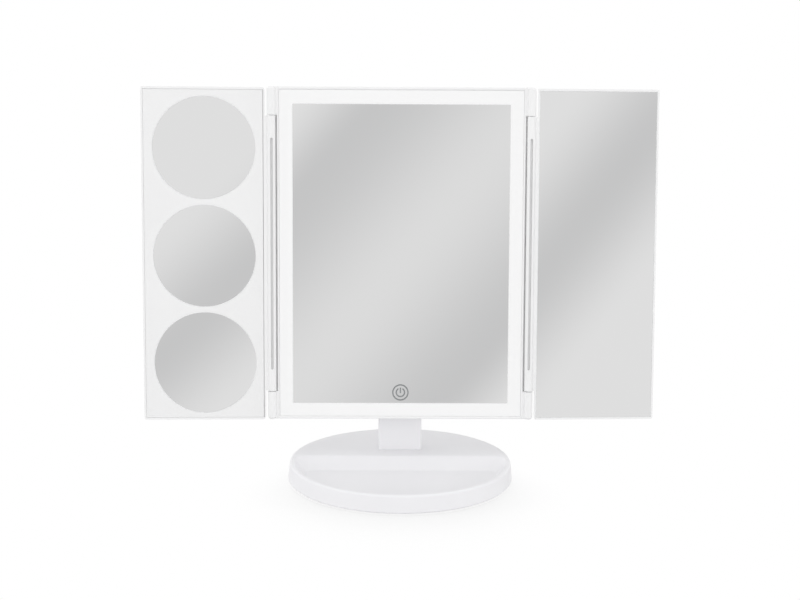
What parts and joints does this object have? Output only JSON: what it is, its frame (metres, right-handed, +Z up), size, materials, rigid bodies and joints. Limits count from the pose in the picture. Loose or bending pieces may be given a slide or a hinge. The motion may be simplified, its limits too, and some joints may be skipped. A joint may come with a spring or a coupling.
{
  "type": "trifold vanity mirror",
  "caption": "Lit trifold vanity mirror: framed centre mirror with an opal light border, folding side wings with round magnifiers, tilt hinge, round tray stand.",
  "frame": {"origin": "centre of the round stand, on the surface that its feet rest on", "axes": "+X to the viewer's right, along the open wings; +Y away from the viewer; +Z up"},
  "size_m": [0.35, 0.153, 0.2647],
  "materials": {
    "frame_white": "smooth moulded, satin gloss",
    "panel_white": "smooth moulded, satin gloss",
    "stand_white": "smooth moulded, satin gloss",
    "cover_white": "fine texture",
    "reflector_white": "matt",
    "opal_border": "frosted, lets light through",
    "mirror_glass": "silvered",
    "round_mirror_glass": "silvered, concave",
    "symbol_grey": "printed",
    "foam_grey": "closed-cell foam",
    "foot_rubber": "matt",
    "washer_black": "matt",
    "weight_steel": "bare",
    "screw_steel": "zinc plated",
    "hinge_steel": "ground",
    "contact_steel": "nickel plated",
    "socket_steel": "stamped",
    "contact_copper": "foil",
    "strip_board": "solder mask",
    "circuit_green": "solder mask",
    "chip_black": "moulded",
    "led_phosphor": "moulded lens",
    "cell_jacket": "printed sleeve",
    "lead_red": "insulation"
  },
  "bodies": {
    "stand": {"base_shell": "stand_white", "base_cover": "cover_white", "base_feet": "foot_rubber", "base_weight": "weight_steel", "base_screws": "screw_steel", "neck": "stand_white", "neck_screws": "screw_steel"},
    "head": {"centre_frame": "frame_white", "rear_cover": "frame_white", "rear_screws": "screw_steel", "centre_mirror": "mirror_glass", "light_border": "opal_border", "touch_symbol": "symbol_grey", "touch_pad": "contact_copper", "touch_spring": "contact_steel", "mirror_foam": "foam_grey", "reflector": "reflector_white", "led_strip_left": "strip_board", "led_strip_right": "strip_board", "led_strip_bottom": "strip_board", "led_strip_top": "strip_board", "led_chips": "led_phosphor", "aa_cells": "cell_jacket", "battery_contacts": "contact_steel", "battery_springs": "contact_steel", "battery_leads": "lead_red", "control_board": "circuit_green", "driver_chip": "chip_black", "power_coil": "chip_black", "power_socket": "socket_steel", "socket_tongue": "chip_black", "tilt_bolt": "hinge_steel", "tilt_nut": "hinge_steel", "friction_washers": "washer_black", "hinge_caps": "frame_white", "left_hinge_pins": "hinge_steel", "right_hinge_pins": "hinge_steel"},
    "left_wing": {"left_wing_frame": "frame_white", "left_wing_panel": "panel_white", "left_wing_pad": "foam_grey", "round_mirror_upper": "round_mirror_glass", "round_mirror_middle": "round_mirror_glass", "round_mirror_lower": "round_mirror_glass"},
    "right_wing": {"right_wing_frame": "frame_white", "right_mirror": "mirror_glass", "right_wing_pad": "foam_grey"},
    "battery_door": {"battery_door": "frame_white"}
  },
  "joints": [
    {"name": "head_tilt", "type": "hinge", "parent": "stand", "child": "head", "pos_m": [0, 0.02815, 0.04568], "axis": [-1, 0, 0], "range_deg": [-15, 40]},
    {"name": "left_wing_fold", "type": "hinge", "parent": "head", "child": "left_wing", "pos_m": [-0.0878, 0.006, 0.0397], "axis": [0, 0.0924, 0.9957], "range_deg": [-12, 178]},
    {"name": "right_wing_fold", "type": "hinge", "parent": "head", "child": "right_wing", "pos_m": [0.0878, 0.006, 0.0397], "axis": [0, -0.0924, -0.9957], "range_deg": [-7, 183]},
    {"name": "battery_door_slide", "type": "slide", "parent": "head", "child": "battery_door", "axis": [0, 0.0924, 0.9957], "range_m": [0, 0.045]}
  ]
}
